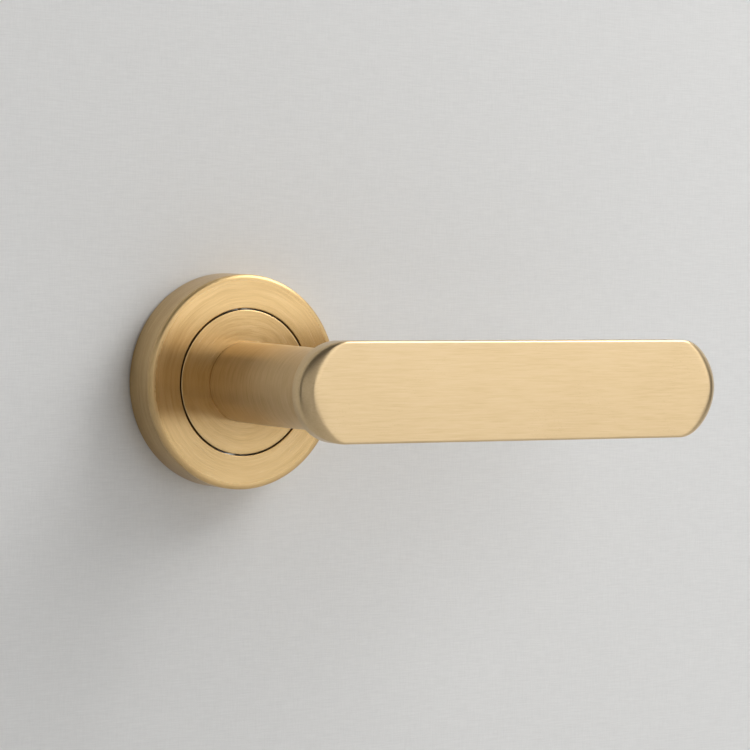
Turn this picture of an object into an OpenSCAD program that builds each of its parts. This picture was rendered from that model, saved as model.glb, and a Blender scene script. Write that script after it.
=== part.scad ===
// Door lever handle: a straight lever with rounded ends on a turned neck, and a round
// rose whose cover hides the sprung cassette, the spindle's follower and the fixings.
//
// Millimetres. The origin is on the spindle's axis at the face of the door. +X runs
// along the lever to its free end, +Z is up, and -Y points out of the door.
// Each piece is drawn face-on, with x along the lever, y up and z as the height above
// the door's face, and face_on() turns it into that frame.

/* [Rose] */
// Outside diameter of the rose cover
rose_d = 53; // [51:0.5:70]
// Height of the rose's front face above the door
rose_h = 10.8; // [10.5:0.1:16]
// Side wall of the cover
cover_wall = 2.2; // [1.2:0.1:2.6]
// Front web of the cover, and thickness of the collar that fills it
face_t = 2; // [1.4:0.1:2.4]
// Radius turned on the cover's front edge
cover_edge_r = 1; // [0.4:0.1:1.2]
// Diameter of the collar
collar_d = 35.6; // [32:0.1:40]
// Open ring between the collar and the cover
ring_gap = 0.4; // [0.25:0.05:0.8]

/* [Lever] */
// Diameter of the neck where it leaves the collar
neck_d = 19.8; // [17.6:0.1:24]
// Diameter of the neck at its waist
neck_waist_d = 19.5; // [16:0.1:22]
// Distance from the neck's end to its waist
neck_waist_back = 7; // [6:0.5:14]
// Height of the lever's front face above the door
lever_front = 60.6; // [52:0.1:75]
// Length of the grip over both ends
grip_len = 121.5; // [90:0.5:150]
// Distance from the neck's centre line to the grip's near end
grip_near = 13.1; // [12:0.1:20]
// Height of the grip, seen from the front
grip_h = 24.2; // [22:0.1:30]
// Thickness of the grip
grip_t = 5.6; // [5.6:0.1:12]
// Radius of the nose at each end of the grip, in plan
grip_nose_r = 2.7; // [1.5:0.1:2.7]

/* [Spindle and fixings] */
// Side of the square spindle
spindle_w = 8; // [6.5:0.1:10]
// Depth that the spindle reaches into the door
spindle_in = 55; // [30:1:80]
// Depth that the spindle reaches into the neck, above the door's face
spindle_out = 34; // [26:1:36]
// Distance between the two through bolts
fixing_centres = 38; // [38:0.1:43]
// Thread diameter of the through bolts
bolt_d = 4; // [3.5:0.1:4.5]
// Depth that the through bolts reach into the door
bolt_in = 38; // [20:1:60]
// Shank diameter of the wood screws
wood_screw_d = 3.5; // [3:0.1:4]
// Depth that the wood screws reach into the door
wood_screw_in = 16; // [10:1:30]

/* [Cassette] */
// Thickness of the back plate
plate_t = 1.2; // [1:0.1:1.6]
// Thickness of the housing over the spring's chamber
housing_web = 1.4; // [1:0.1:1.8]
// Diameter of the return spring's wire
wire_d = 1.3; // [0.8:0.05:1.4]
// Angle that the lever turns down
lever_turn = 45; // [30:1:50]
// Wall of the plain bushes
bush_wall = 1.5; // [1:0.1:2]
// Thickness of the bushes' flange and of the rotor's arms
thin_t = 0.7; // [0.5:0.05:0.8]
// Section of the ring that grips the cover
o_ring_d = 1.8; // [1.2:0.1:2]

/* [Clearances] */
// Radial clearance of a running fit
run_gap = 0.05; // [0.02:0.01:0.1]
// Play on each side of the square spindle
square_gap = 0.05; // [0.02:0.01:0.1]
// Gap between parts that stand clear of each other
free_gap = 0.4; // [0.3:0.05:0.6]
// Gap under the thin discs of the stack
stack_gap = 0.05; // [0.03:0.01:0.1]

/* [Hidden] */
$fn = 96;
cut = 1; // how far a cutter runs past the face that it cuts

brass = [0.80, 0.62, 0.36];
steel = [0.72, 0.73, 0.75];
zinc = [0.62, 0.63, 0.65];
nylon = [0.90, 0.88, 0.82];
rubber = [0.12, 0.12, 0.12];

// Heights of the stack, from the door outwards
cover_under = rose_h - face_t;
housing_top = cover_under - 1.1;
chamber_top = housing_top - housing_web;
flange_top = housing_top + thin_t;
washer_t = 0.5;
rotor_top = chamber_top - washer_t - 2 * stack_gap;
arm_under = rotor_top - thin_t;

// Square hole, hub, journal and the bushes round them
square_w = spindle_w + 2 * square_gap;
hub_r = square_w / sqrt(2) + 1.3;
journal_r = square_w / sqrt(2) + 2.3;
journal_bush_r = journal_r + run_gap + bush_wall;
flange_r = journal_bush_r + 2.4;
rotor_bush_r = hub_r + run_gap + bush_wall;

// Return spring: the coil stands clear of the hub, and the posts stand clear of the coil
coil_r = hub_r + 1.5 + wire_d / 2;
post_r = 1.6;
orbit_r = coil_r + wire_d / 2 + free_gap + post_r;
cavity_r = orbit_r + post_r + free_gap;
coil_low = plate_t + stack_gap + wire_d / 2;
coil_high = arm_under - stack_gap - wire_d / 2;
coil_pitch_min = wire_d + 0.03;
coil_turns = floor((coil_high - coil_low) / coil_pitch_min - 0.7) + 0.7;
fixed_leg_a = 13;
moving_leg_a = fixed_leg_a - 360 * (coil_turns - floor(coil_turns)) + 360;
leg_bend_r = 1.6;
leg_end_r = orbit_r + 1.1;

// Pins in the chamber, and the rotor's two posts, all on one circle
pin_r = 1.25;
post_to_leg_a = asin((post_r + wire_d / 2 + stack_gap) / orbit_r);
pin_to_leg_a = asin((pin_r + wire_d / 2 + stack_gap) / orbit_r);
spring_post_a = moving_leg_a + post_to_leg_a;
anchor_pin_a = fixed_leg_a - pin_to_leg_a;
stop_post_a = 315;
stop_half_a = 2 * asin((post_r + pin_r + 0.1) / (2 * orbit_r));
stop_angles = [stop_post_a + stop_half_a, stop_post_a - lever_turn - stop_half_a];
pin_seat = 0.4; // depth of plate left under a pin

// Rose
rose_r = rose_d / 2;
cover_bore_r = rose_r - cover_wall;
opening_r = collar_d / 2 + ring_gap;
housing_r = cover_bore_r - free_gap - 0.1;
ring_proud = free_gap; // how far the O-ring stands out of the housing
groove_low = plate_t + 1.8;

// Fixings
bolt_r = bolt_d / 2;
bolt_shank_r = bolt_r - 0.25; // rolled thread, so the plain shank is thinner
bolt_head_r = bolt_r + 1.8;
wood_screw_r = wood_screw_d / 2;
wood_head_r = wood_screw_r + 1.75;
head_land = 0.2;
hole_gap = 0.15;
seat_gap = 0.02;
fixing_top = housing_top - 0.2; // the heads stand just below the housing's face
wood_screw_x = fixing_centres / 2;
plate_screw_r = 1.25;
plate_screw_head_r = 2.2;
plate_screw_orbit = cavity_r + 2;
plate_screw_len = housing_top - 2.2;
plate_screw_angles = [45, 165, 285];

// Lever
neck_r = neck_d / 2;
grip_back = lever_front - grip_t;
grip_r = grip_h / 2;
grip_left = -max(grip_near, grip_r);
grip_right = grip_left + grip_len;
waist_z = grip_back - neck_waist_back;
neck_flare = 0.25;
flare_r = min(neck_waist_d / 2 + neck_flare, grip_r - 1);
journal_end = chamber_top + 0.1;
tenon_r = 6;
tenon_h = 2;
screw_r = 2;
screw_head_r = (spindle_w - 1) / 2;
screw_head_h = 4;
screw_seat = spindle_out + screw_head_h + 2;
grip_web = 1.6; // left in front of the screw's hole
screw_in = grip_t - grip_web;
dowel_r = 1.25;
dowel_x = 8;
dowel_in = 3.5;
grub_r = 2.5;
grub_z = rose_h + 9.2;
grub_inset = 0.6;

function polar(r, a) = [r * cos(a), r * sin(a)];
function ease(u) = (1 - cos(180 * u)) / 2;

// Half section of a solid of revolution from a list of [radius, height] points
module turned(points) {
    rotate_extrude() polygon(points);
}

// Turns a piece drawn face-on into the frame of the handle
module face_on() {
    rotate([90, 0, 0]) children();
}

module ring(r_in, r_out, z_low, z_high) {
    translate([0, 0, z_low]) difference() {
        cylinder(r = r_out, h = z_high - z_low);
        translate([0, 0, -cut]) cylinder(r = r_in, h = z_high - z_low + 2 * cut);
    }
}

module disc(r, z_low, z_high) {
    translate([0, 0, z_low]) cylinder(r = r, h = z_high - z_low);
}

module at_polar(r, a) {
    translate([r * cos(a), r * sin(a), 0]) children();
}

// Square bar on the axis, between two heights
module square_bar(w, z_low, z_high) {
    translate([-w / 2, -w / 2, z_low]) cube([w, w, z_high - z_low]);
}

// Hexagon socket of this width across flats, cut down from z_top
module hex_socket(flats, z_top, depth) {
    translate([0, 0, z_top - depth]) cylinder(d = flats / cos(30), h = depth + cut, $fn = 6);
}

// Clear hole with a countersunk seat for a head that ends at z_top, cut down past z_low
module countersunk_hole(head_r, shank_r, z_top, z_low) {
    hole_r = shank_r + hole_gap;
    seat_r = head_r + seat_gap;
    disc(hole_r, z_low - cut, z_top);
    disc(seat_r, z_top - head_land, z_top + cut);
    translate([0, 0, z_top - head_land - (seat_r - hole_r)])
        cylinder(r1 = hole_r, r2 = seat_r, h = seat_r - hole_r);
}

// Countersunk head and its shank, down to z_low
module countersunk_head(head_r, shank_r, z_top, z_low) {
    cone_low = z_top - head_land - (head_r - shank_r);
    disc(shank_r, z_low, cone_low);
    disc(head_r, z_top - head_land, z_top);
    translate([0, 0, cone_low]) cylinder(r1 = shank_r, r2 = head_r, h = head_r - shank_r);
}

// The places of the three kinds of fixing
module at_bolts() {
    for (side = [-1, 1]) translate([0, side * fixing_centres / 2, 0]) children();
}

module at_wood_screws() {
    for (side = [-1, 1]) translate([side * wood_screw_x, 0, 0]) children();
}

module at_plate_screws() {
    for (a = plate_screw_angles) at_polar(plate_screw_orbit, a) children();
}

module at_dowels() {
    for (side = [-1, 1]) translate([side * dowel_x, 0, 0]) children();
}

// ---------- lever ----------

// Front outline of the grip: a bar with a full round at each end
module grip_outline() {
    for (x = [grip_left + grip_r, grip_right - grip_r]) translate([x, 0]) circle(r = grip_r);
    translate([grip_left + grip_r, -grip_r]) square([grip_len - grip_h, grip_h]);
}

// Plan of the grip: the same bar from above, with a nose at each end
module grip_plan() {
    translate([grip_left + grip_nose_r, 0]) square([grip_len - 2 * grip_nose_r, grip_t]);
    translate([grip_left, grip_nose_r]) square([grip_len, grip_t - 2 * grip_nose_r]);
    for (x = [grip_left + grip_nose_r, grip_right - grip_nose_r], z = [grip_nose_r, grip_t - grip_nose_r])
        translate([x, z]) circle(r = grip_nose_r);
}

module lever_grip() {
    color(brass) face_on() difference() {
        intersection() {
            translate([0, 0, grip_back]) linear_extrude(grip_t) grip_outline();
            translate([0, grip_r + cut, grip_back]) rotate([90, 0, 0])
                linear_extrude(grip_h + 2 * cut) grip_plan();
        }
        disc(tenon_r + run_gap, grip_back - cut, grip_back + tenon_h + run_gap);
        disc(screw_r, grip_back, grip_back + screw_in);
        at_dowels() disc(dowel_r, grip_back - cut, grip_back + dowel_in);
    }
}

// Turned neck: journal, shoulder, a barrel that draws in to its waist, and a flared end
neck_steps = 10;
neck_barrel = [for (i = [0:neck_steps]) let (u = i / neck_steps)
    [neck_r + (neck_waist_d / 2 - neck_r) * ease(u), rose_h + (waist_z - rose_h) * u]];
neck_end = [for (i = [1:neck_steps]) let (u = i / neck_steps)
    [neck_waist_d / 2 + (flare_r - neck_waist_d / 2) * ease(u), waist_z + (grip_back - waist_z) * u]];

module lever_neck() {
    color(brass) face_on() difference() {
        turned(concat([[0, journal_end], [journal_r, journal_end], [journal_r, rose_h]],
            neck_barrel, neck_end,
            [[tenon_r, grip_back], [tenon_r, grip_back + tenon_h], [0, grip_back + tenon_h]]));
        square_bar(square_w, journal_end - cut, screw_seat);
        disc(screw_r + hole_gap, screw_seat - cut, grip_back + tenon_h + cut);
        at_dowels() disc(dowel_r, grip_back - dowel_in, grip_back + cut);
        translate([0, 0, grub_z]) rotate([90, 0, 0]) cylinder(r = grub_r, h = neck_r + cut);
    }
}

module neck_collar() {
    edge = 0.25;
    collar_r = collar_d / 2;
    color(brass) face_on() turned([[journal_r, cover_under], [collar_r, cover_under],
        [collar_r, rose_h - edge], [collar_r - edge, rose_h], [journal_r, rose_h]]);
}

module grip_screw() {
    color(steel) face_on() difference() {
        union() {
            disc(screw_head_r, screw_seat - screw_head_h, screw_seat);
            disc(screw_r, screw_seat, grip_back + screw_in);
        }
        rotate([180, 0, 0]) hex_socket(3, screw_head_h - screw_seat, 2);
    }
}

module grip_dowels() {
    color(steel) face_on() at_dowels() disc(dowel_r, grip_back - dowel_in, grip_back + dowel_in);
}

// Threaded in from under the neck, and tight on the spindle's flat
module lever_grub_screw() {
    grub_len = neck_r - spindle_w / 2 - grub_inset;
    color(steel) face_on() translate([0, 0, grub_z]) rotate([90, 0, 0])
        translate([0, 0, spindle_w / 2]) difference() {
            cylinder(r = grub_r, h = grub_len);
            hex_socket(2.5, grub_len, 2.4);
        }
}

// Square bar with both ends chamfered on all four sides
module spindle() {
    chamfer = 1;
    length = spindle_in + spindle_out;
    half = spindle_w / 2;
    side = [[-half + chamfer, 0], [half - chamfer, 0], [half, chamfer], [half, length - chamfer],
        [half - chamfer, length], [-half + chamfer, length], [-half, length - chamfer],
        [-half, chamfer]];
    color(steel) face_on() translate([0, 0, -spindle_in]) intersection_for (turn = [0, 90])
        rotate([0, 0, turn]) translate([0, half, 0]) rotate([90, 0, 0])
            linear_extrude(spindle_w) polygon(side);
}

// Outline of the rotor's arms: a round head over each post, on a bar out of the hub
module rotor_outline() {
    arm_w = 2 * post_r - 0.6;
    circle(r = hub_r);
    for (a = [spring_post_a, stop_post_a]) rotate(a) {
        translate([orbit_r, 0]) circle(r = post_r);
        translate([0, -arm_w / 2]) square([orbit_r, arm_w]);
    }
}

// The spindle's follower: a hub with two arms, each with a post that hangs beside the coil
module rotor() {
    hub_low = 0.15;
    post_low = plate_t + 0.4;
    color(steel) face_on() difference() {
        union() {
            disc(hub_r, hub_low, arm_under);
            for (a = [spring_post_a, stop_post_a])
                at_polar(orbit_r, a) disc(post_r, post_low, arm_under);
            translate([0, 0, arm_under]) linear_extrude(thin_t) rotor_outline();
        }
        square_bar(square_w, -cut, rotor_top + cut);
    }
}

// ---------- rose ----------

// Half section of the cover, with its front edge rounded
module cover_section() {
    difference() {
        union() {
            square([rose_r, rose_h - cover_edge_r]);
            square([rose_r - cover_edge_r, rose_h]);
            translate([rose_r - cover_edge_r, rose_h - cover_edge_r]) circle(r = cover_edge_r);
        }
        translate([-cut, -cut]) square([cover_bore_r + cut, cover_under + cut]);
        translate([-cut, -cut]) square([opening_r + cut, rose_h + 2 * cut]);
    }
}

module rose_cover() {
    color(brass) face_on() rotate_extrude() cover_section();
}

// Sits in the housing's groove, just short of the cover's bore
module cover_o_ring() {
    color(rubber) face_on() translate([0, 0, groove_low + o_ring_d / 2])
        rotate_extrude() translate([housing_r + ring_proud - o_ring_d / 2, 0])
            circle(d = o_ring_d);
}

// ---------- cassette ----------

module cassette_housing() {
    groove_r = housing_r + ring_proud - o_ring_d;
    color(zinc) face_on() difference() {
        disc(housing_r, plate_t, housing_top);
        disc(cavity_r, plate_t - cut, chamber_top);
        disc(journal_bush_r, plate_t, housing_top + cut);
        ring(groove_r, housing_r + cut, groove_low, groove_low + o_ring_d);
        at_bolts() countersunk_hole(bolt_head_r, bolt_r, fixing_top, plate_t);
        at_wood_screws()
            countersunk_hole(wood_head_r, wood_screw_r, fixing_top, plate_t);
        at_plate_screws() disc(plate_screw_r, plate_t - cut, plate_screw_len);
    }
}

module back_plate() {
    color(steel) face_on() difference() {
        disc(housing_r, 0, plate_t);
        disc(rotor_bush_r, -cut, plate_t + cut);
        at_bolts() disc(bolt_r + hole_gap, -cut, plate_t + cut);
        at_wood_screws() disc(wood_screw_r + hole_gap, -cut, plate_t + cut);
        at_plate_screws() mirror([0, 0, 1])
            countersunk_hole(plate_screw_head_r, plate_screw_r, 0, -plate_t);
        for (a = stop_angles) at_polar(orbit_r, a) disc(pin_r, pin_seat, plate_t + cut);
        at_polar(orbit_r, anchor_pin_a) disc(pin_r, pin_seat, plate_t + cut);
    }
}

module back_plate_screws() {
    color(steel) face_on() at_plate_screws() mirror([0, 0, 1]) difference() {
        countersunk_head(plate_screw_head_r, plate_screw_r, 0, -plate_screw_len);
        hex_socket(1.5, 0, 0.7);
    }
}

// Centre line of the spring: a leg, a small bend onto the coil, the coil, and the same back
bend_a = asin(leg_bend_r / (coil_r + leg_bend_r));
bend_steps = 4;
coil_from_a = fixed_leg_a - bend_a;
coil_sweep = 360 * coil_turns - 2 * bend_a;
coil_steps = ceil(coil_turns * 26);

// A leg's bend, from the leg inwards; turn is 1 where its centre lies clockwise of the leg
function leg_bend(leg_a, turn, z) = let (c = polar(coil_r + leg_bend_r, leg_a - turn * bend_a))
    [for (i = [0:bend_steps]) let (a = leg_a + turn * (90 + (90 - bend_a) * i / bend_steps))
        [c[0] + leg_bend_r * cos(a), c[1] + leg_bend_r * sin(a), z]];
function reversed(v) = [for (i = [len(v) - 1:-1:0]) v[i]];
function leg_end(a, z) = concat(polar(leg_end_r, a), z);
coil_path = [for (i = [1:coil_steps - 1]) let (u = i / coil_steps)
    concat(polar(coil_r, coil_from_a - coil_sweep * u), coil_low + (coil_high - coil_low) * u)];
spring_path = concat([leg_end(fixed_leg_a, coil_low)], leg_bend(fixed_leg_a, 1, coil_low),
    coil_path, reversed(leg_bend(moving_leg_a, -1, coil_high)),
    [leg_end(moving_leg_a, coil_high)]);

function unit(v) = v / norm(v);
function along(path, i) =
    unit(path[min(i + 1, len(path) - 1)] - path[max(i - 1, 0)]);

// Round wire along a path that stays close to level
module wire(path, r, sides) {
    points = [for (i = [0:len(path) - 1]) let (t = along(path, i), n = unit(cross([0, 0, 1], t)),
        b = cross(t, n)) for (k = [0:sides - 1]) let (a = 360 * k / sides)
            path[i] + r * (n * cos(a) + b * sin(a))];
    walls = [for (i = [0:len(path) - 2], k = [0:sides - 1]) let (m = (k + 1) % sides)
        [i * sides + k, (i + 1) * sides + k, (i + 1) * sides + m, i * sides + m]];
    first = [for (k = [0:sides - 1]) k];
    last = [for (k = [sides - 1:-1:0]) (len(path) - 1) * sides + k];
    polyhedron(points, concat([first], walls, [last]), convexity = 6);
}

module return_spring() {
    color(steel) face_on() wire(spring_path, wire_d / 2, 10);
}

// Plain bush for the lever's journal, with a flange on the housing
module journal_bush() {
    color(nylon) face_on() {
        ring(journal_r + run_gap, journal_bush_r, chamber_top, flange_top);
        ring(journal_bush_r, flange_r, housing_top, flange_top);
    }
}

// Dished ring that takes up the play under the collar
module thrust_spring_washer() {
    sheet = 0.25;
    low = flange_top + stack_gap;
    high = cover_under - stack_gap;
    r_in = journal_r + 0.3;
    color(steel) face_on() turned([[r_in, high - sheet], [flange_r, low],
        [flange_r, low + sheet], [r_in, high]]);
}

module rotor_washer() {
    low = rotor_top + stack_gap;
    color(nylon) face_on()
        ring(square_w / sqrt(2) + 0.3, orbit_r - post_r, low, low + washer_t);
}

// Plain bush in the back plate for the rotor's hub
module rotor_bush() {
    color(nylon) face_on() ring(hub_r + run_gap, rotor_bush_r, 0, plate_t);
}

module stop_pins() {
    color(steel) face_on() for (a = stop_angles)
        at_polar(orbit_r, a) disc(pin_r, pin_seat, rotor_top);
}

module spring_anchor_pin() {
    color(steel) face_on() at_polar(orbit_r, anchor_pin_a)
        disc(pin_r, pin_seat, coil_low + wire_d);
}

// ---------- fixings ----------

module fixing_bolts() {
    color(steel) face_on() at_bolts() difference() {
        union() {
            countersunk_head(bolt_head_r, bolt_shank_r, fixing_top, 0);
            disc(bolt_r, -bolt_in, 0);
        }
        hex_socket(2.5, fixing_top, 1.6);
    }
}

module wood_screws() {
    point = 4;
    color(steel) face_on() at_wood_screws() difference() {
        union() {
            countersunk_head(wood_head_r, wood_screw_r, fixing_top, point - wood_screw_in);
            translate([0, 0, -wood_screw_in])
                cylinder(r1 = 0.2, r2 = wood_screw_r, h = point);
        }
        for (turn = [0, 90]) rotate([0, 0, turn])
            translate([-1.9, -0.4, fixing_top - 1.3]) cube([3.8, 0.8, 1.3 + cut]);
    }
}

lever_grip();
lever_neck();
neck_collar();
grip_screw();
grip_dowels();
lever_grub_screw();
spindle();
rotor();
rose_cover();
cover_o_ring();
cassette_housing();
back_plate();
back_plate_screws();
return_spring();
journal_bush();
thrust_spring_washer();
rotor_washer();
rotor_bush();
stop_pins();
spring_anchor_pin();
fixing_bolts();
wood_screws();
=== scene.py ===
"""The looks of a door lever handle in satin brass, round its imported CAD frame.

Metres, in the frame's axes: the origin is on the spindle's axis at the door's face, +X runs
along the lever to its free end, +Z is up and -Y points out of the door.
"""

from math import asin, ceil, cos, pi, radians, sin, sqrt

import bmesh
import bpy
from mathutils import Matrix, Quaternion, Vector


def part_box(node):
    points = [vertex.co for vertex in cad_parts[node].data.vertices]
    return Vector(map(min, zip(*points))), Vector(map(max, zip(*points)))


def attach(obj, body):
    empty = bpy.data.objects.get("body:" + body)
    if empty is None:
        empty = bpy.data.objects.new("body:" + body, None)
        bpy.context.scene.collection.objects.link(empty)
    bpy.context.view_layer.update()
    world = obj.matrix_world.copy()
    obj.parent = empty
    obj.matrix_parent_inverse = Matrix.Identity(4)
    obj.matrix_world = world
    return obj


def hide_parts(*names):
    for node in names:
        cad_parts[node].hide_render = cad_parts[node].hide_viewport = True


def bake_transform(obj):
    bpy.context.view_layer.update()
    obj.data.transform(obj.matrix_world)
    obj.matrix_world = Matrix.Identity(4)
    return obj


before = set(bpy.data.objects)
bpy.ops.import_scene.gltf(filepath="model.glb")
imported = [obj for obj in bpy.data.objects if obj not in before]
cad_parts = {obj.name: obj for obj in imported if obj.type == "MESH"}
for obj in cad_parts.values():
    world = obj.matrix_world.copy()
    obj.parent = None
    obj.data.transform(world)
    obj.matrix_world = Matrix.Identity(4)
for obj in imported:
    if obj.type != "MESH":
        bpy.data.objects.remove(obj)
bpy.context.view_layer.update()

MM = 0.001

# ---------------------------------------------------------------- sizes, from the frame


def span(node, axis):
    """How far a CAD node reaches along one axis."""
    low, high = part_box(node)
    return high[axis] - low[axis]


X, Y, Z = 0, 1, 2
ROSE_R = span("rose_cover", X) / 2
ROSE_H = -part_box("rose_cover")[0][Y]
COLLAR_R = span("neck_collar", X) / 2
COLLAR_UNDER = -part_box("neck_collar")[1][Y]
GRIP_R = span("lever_grip", Z) / 2
GRIP_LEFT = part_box("lever_grip")[0][X]
GRIP_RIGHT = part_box("lever_grip")[1][X]
GRIP_FRONT = -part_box("lever_grip")[0][Y]
GRIP_BACK = -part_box("lever_grip")[1][Y]
HOUSING_R = span("cassette_housing", X) / 2
SPINDLE_W = span("spindle", Z)
SPINDLE_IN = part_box("spindle")[1][Y]
SPINDLE_OUT = -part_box("spindle")[0][Y]
BOLT_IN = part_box("fixing_bolts")[1][Y]
BOLT_TOP = -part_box("fixing_bolts")[0][Y]
BOLT_HEAD_R = span("fixing_bolts", X) / 2
FIXING_Z = span("fixing_bolts", Z) / 2 - BOLT_HEAD_R
WOOD_HEAD_R = span("wood_screws", Z) / 2
WOOD_X = span("wood_screws", X) / 2 - WOOD_HEAD_R
WOOD_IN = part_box("wood_screws")[1][Y]
WOOD_TOP = -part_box("wood_screws")[0][Y]

# ---------------------------------------------------------------- mesh helpers


def arc(centre, radius, start, end, steps):
    """Points along an arc, as (radius, height) pairs; the angles are in degrees."""
    points = []
    for i in range(steps + 1):
        a = radians(start + (end - start) * i / steps)
        points.append((centre[0] + radius * cos(a), centre[1] + radius * sin(a)))
    return points


def smooth(u):
    """0 to 1, level at both ends."""
    u = min(max(u, 0.0), 1.0)
    return u * u * (3 - 2 * u)


def turned(profile, steps=128, closed=False):
    """A solid of revolution on the spindle's axis, spun from (radius, height) points."""
    bm = bmesh.new()
    verts = [bm.verts.new((r, -h, 0)) for r, h in profile]
    edges = [bm.edges.new(pair) for pair in zip(verts, verts[1:])]
    if closed:
        edges.append(bm.edges.new((verts[-1], verts[0])))
    bmesh.ops.spin(bm, geom=verts + edges, cent=(0, 0, 0), axis=(0, 1, 0), angle=2 * pi,
                   steps=steps, use_merge=True)
    bmesh.ops.remove_doubles(bm, verts=bm.verts, dist=1e-7)
    bmesh.ops.recalc_face_normals(bm, faces=bm.faces)
    return bm


def moved(bm, offset):
    """Shifts a bmesh and hands it back."""
    bmesh.ops.translate(bm, verts=bm.verts, vec=offset)
    return bm


def joined(parts):
    """Several bmeshes as one."""
    whole = bmesh.new()
    for part in parts:
        mesh = bpy.data.meshes.new("part")
        part.to_mesh(mesh)
        part.free()
        whole.from_mesh(mesh)
        bpy.data.meshes.remove(mesh)
    return whole


def as_object(bm, name):
    """A finished bmesh as an object in the scene."""
    mesh = bpy.data.meshes.new(name)
    bm.to_mesh(mesh)
    bm.free()
    piece = bpy.data.objects.new(name, mesh)
    bpy.context.scene.collection.objects.link(piece)
    return piece


def opened(piece):
    """An object's mesh as a bmesh again; the object goes."""
    bm = bmesh.new()
    bm.from_mesh(piece.data)
    bpy.data.objects.remove(piece)
    return bm


def cut_away(piece, cutter_bm):
    """Takes the cutter's shape out of a piece, and leaves no modifier behind."""
    cutter = as_object(cutter_bm, "cutter")
    difference = piece.modifiers.new("cut", "BOOLEAN")
    difference.operation = "DIFFERENCE"
    difference.solver = "EXACT"
    difference.object = cutter
    bpy.context.view_layer.update()
    shaped = piece.evaluated_get(bpy.context.evaluated_depsgraph_get())
    mesh = bpy.data.meshes.new_from_object(shaped)
    piece.modifiers.clear()
    piece.data = mesh
    bpy.data.objects.remove(cutter)
    return piece


def hex_bar(flats, low, high):
    """Hexagonal bar on the Y axis, between two heights, for cutting sockets."""
    bm = bmesh.new()
    bmesh.ops.create_cone(bm, cap_ends=True, segments=6, radius1=flats / sqrt(3),
                          radius2=flats / sqrt(3), depth=high - low,
                          matrix=Matrix.Rotation(pi / 2, 4, "X"))
    return moved(bm, (0, -(low + high) / 2, 0))


def add_piece(piece, body, material, slot, *nodes, sharp=35):
    """Shades a finished piece, gives it its material and puts it on its CAD body."""
    mesh = piece.data
    mesh.shade_smooth()
    mesh.set_sharp_from_angle(angle=radians(sharp))
    mesh.materials.clear()
    mesh.materials.append(material)
    if body:
        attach(piece, body)
    if nodes:
        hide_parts(*nodes)
    return piece


# ---------------------------------------------------------------- shader helpers

NOISE_LOW, NOISE_HIGH = 0.3, 0.7    # the part of a noise's range that its features fill
AXIS_R = 1e-5                       # stands for a radius of nought in a division


class Nodes:
    """Short calls for wiring one node tree."""

    def __init__(self, tree):
        self.tree = tree

    def add(self, kind, **settings):
        node = self.tree.nodes.new(kind)
        for key, value in settings.items():
            setattr(node, key, value)
        return node

    def plug(self, value, socket):
        """Links an output to a socket, or sets the socket to a number."""
        if isinstance(value, bpy.types.NodeSocket):
            self.tree.links.new(value, socket)
        else:
            socket.default_value = value

    def math(self, operation, *values):
        node = self.add("ShaderNodeMath", operation=operation)
        for value, socket in zip(values, node.inputs):
            self.plug(value, socket)
        return node.outputs[0]

    def combine(self, x, y, z):
        node = self.add("ShaderNodeCombineXYZ")
        for value, socket in zip((x, y, z), node.inputs):
            self.plug(value, socket)
        return node.outputs[0]

    def separate(self, vector):
        node = self.add("ShaderNodeSeparateXYZ")
        self.plug(vector, node.inputs[0])
        return node.outputs

    def noise(self, vector, scale=1.0, detail=2.0, roughness=0.5):
        node = self.add("ShaderNodeTexNoise")
        self.plug(vector, node.inputs["Vector"])
        node.inputs["Scale"].default_value = scale
        node.inputs["Detail"].default_value = detail
        node.inputs["Roughness"].default_value = roughness
        return node.outputs["Fac"]

    def full_noise(self, vector, detail, roughness):
        """Noise with about one feature to a unit, stretched to fill 0 to 1."""
        return self.spread(self.noise(vector, 1.0, detail, roughness), NOISE_LOW, NOISE_HIGH)

    def hypotenuse(self, a, b):
        """The length of a vector from its two parts."""
        return self.math("SQRT", self.math("ADD", self.math("MULTIPLY", a, a),
                                           self.math("MULTIPLY", b, b)))

    def in_units_of(self, vector, size):
        """A vector divided by a size, so that a pattern's features come out that big."""
        node = self.add("ShaderNodeVectorMath", operation="SCALE")
        self.plug(vector, node.inputs[0])
        self.plug(self.math("DIVIDE", 1.0, size), node.inputs["Scale"])
        return node.outputs[0]

    def spread(self, value, low, high, to_low=0.0, to_high=1.0):
        """Stretches a range of a value onto another, and clamps it."""
        node = self.add("ShaderNodeMapRange", clamp=True)
        for number, name in ((value, "Value"), (low, "From Min"), (high, "From Max"),
                             (to_low, "To Min"), (to_high, "To Max")):
            self.plug(number, node.inputs[name])
        return node.outputs[0]

    def mix(self, share, a, b):
        """Mixes two colours."""
        node = self.add("ShaderNodeMix", data_type="RGBA")
        self.plug(share, node.inputs["Factor"])
        for value, socket in ((a, node.inputs[6]), (b, node.inputs[7])):
            self.plug((*value, 1.0) if isinstance(value, tuple) else value, socket)
        return node.outputs[2]

    def group(self, tree, **inputs):
        """Places a shared group and fills its inputs by name."""
        node = self.add("ShaderNodeGroup", node_tree=tree)
        for name, value in inputs.items():
            self.plug(value, node.inputs[name.replace("_", " ")])
        return node.outputs

    def bump(self, height, distance, strength):
        node = self.add("ShaderNodeBump")
        self.plug(height, node.inputs["Height"])
        node.inputs["Distance"].default_value = distance
        node.inputs["Strength"].default_value = strength
        return node.outputs[0]


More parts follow.
